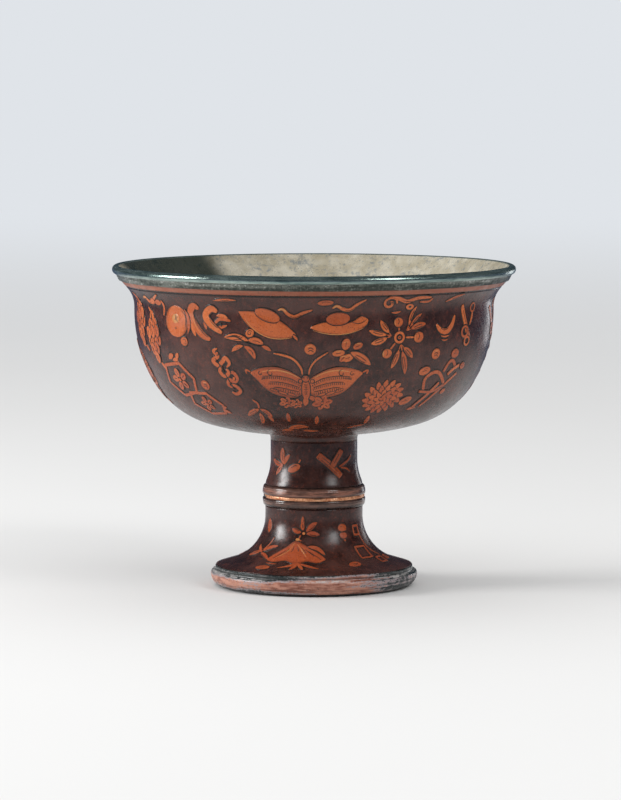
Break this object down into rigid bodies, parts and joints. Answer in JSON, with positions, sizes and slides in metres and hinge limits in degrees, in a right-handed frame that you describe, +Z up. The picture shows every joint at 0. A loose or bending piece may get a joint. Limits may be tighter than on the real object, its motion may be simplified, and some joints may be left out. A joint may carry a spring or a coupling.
{
  "type": "stem cup",
  "caption": "Footed drinking bowl on a hollow stem: lacquered turned wood with inlaid motifs, a metal lining and a rolled rim.",
  "frame": {"origin": "centre of the face that the foot rests on", "axes": "+Z up along the axis of the cup, front of the decoration towards -Y"},
  "size_m": [0.1502, 0.1502, 0.12],
  "materials": {
    "lining_metal": "mottled, tarnished, satin",
    "wire": "drawn wire",
    "collar_metal": "dark, worn",
    "putty": "matt lacquer putty",
    "raw_lacquer": "raw lacquer glue",
    "turned_wood": "bare turned wood",
    "ash_ground": "matt grey ground of ash and lacquer",
    "dark_lacquer": "polished brown-black lacquer",
    "brown_lacquer": "worn grey-brown lacquer",
    "gilding": "worn gilding",
    "red_lacquer": "worn red lacquer",
    "black_lacquer": "black lacquer",
    "inlay_lacquer": "polished orange-red lacquer"
  },
  "bodies": {
    "root": {"bowl_core": "turned_wood", "bowl_ground": "ash_ground", "bowl_lacquer": "dark_lacquer", "column_ground": "ash_ground", "column_lacquer": "dark_lacquer", "foot_band": "red_lacquer", "foot_lining": "black_lacquer", "foot_ring": "black_lacquer", "foot_shoulder": "ash_ground", "gilt_band": "gilding", "inlay_blossoms": "inlay_lacquer", "inlay_branches": "inlay_lacquer", "inlay_bud_wheels": "inlay_lacquer", "inlay_butterflies": "inlay_lacquer", "inlay_chrysanthemums": "inlay_lacquer", "inlay_clouds": "inlay_lacquer", "inlay_coins": "inlay_lacquer", "inlay_column_sprigs": "inlay_lacquer", "inlay_cones": "inlay_lacquer", "inlay_corals": "inlay_lacquer", "inlay_crescents": "inlay_lacquer", "inlay_drops": "inlay_lacquer", "inlay_florets": "inlay_lacquer", "inlay_foot_pearls": "inlay_lacquer", "inlay_foot_sprigs": "inlay_lacquer", "inlay_frets": "inlay_lacquer", "inlay_horns": "inlay_lacquer", "inlay_ingots": "inlay_lacquer", "inlay_knots": "inlay_lacquer", "inlay_lotuses": "inlay_lacquer", "inlay_lozenges": "inlay_lacquer", "inlay_pearls": "inlay_lacquer", "inlay_ribbons": "inlay_lacquer", "inlay_sprigs": "inlay_lacquer", "inlay_tablets": "inlay_lacquer", "inlay_tassels": "inlay_lacquer", "liner": "lining_metal", "liner_bedding": "putty", "lower_bead": "brown_lacquer", "lower_stem_ground": "ash_ground", "lower_stem_lacquer": "dark_lacquer", "rim_border": "red_lacquer", "rim_collar": "collar_metal", "rim_putty": "putty", "rim_wire": "wire", "stem_core": "turned_wood", "tenon_glue": "raw_lacquer", "upper_bead": "brown_lacquer"}
  },
  "joints": []
}
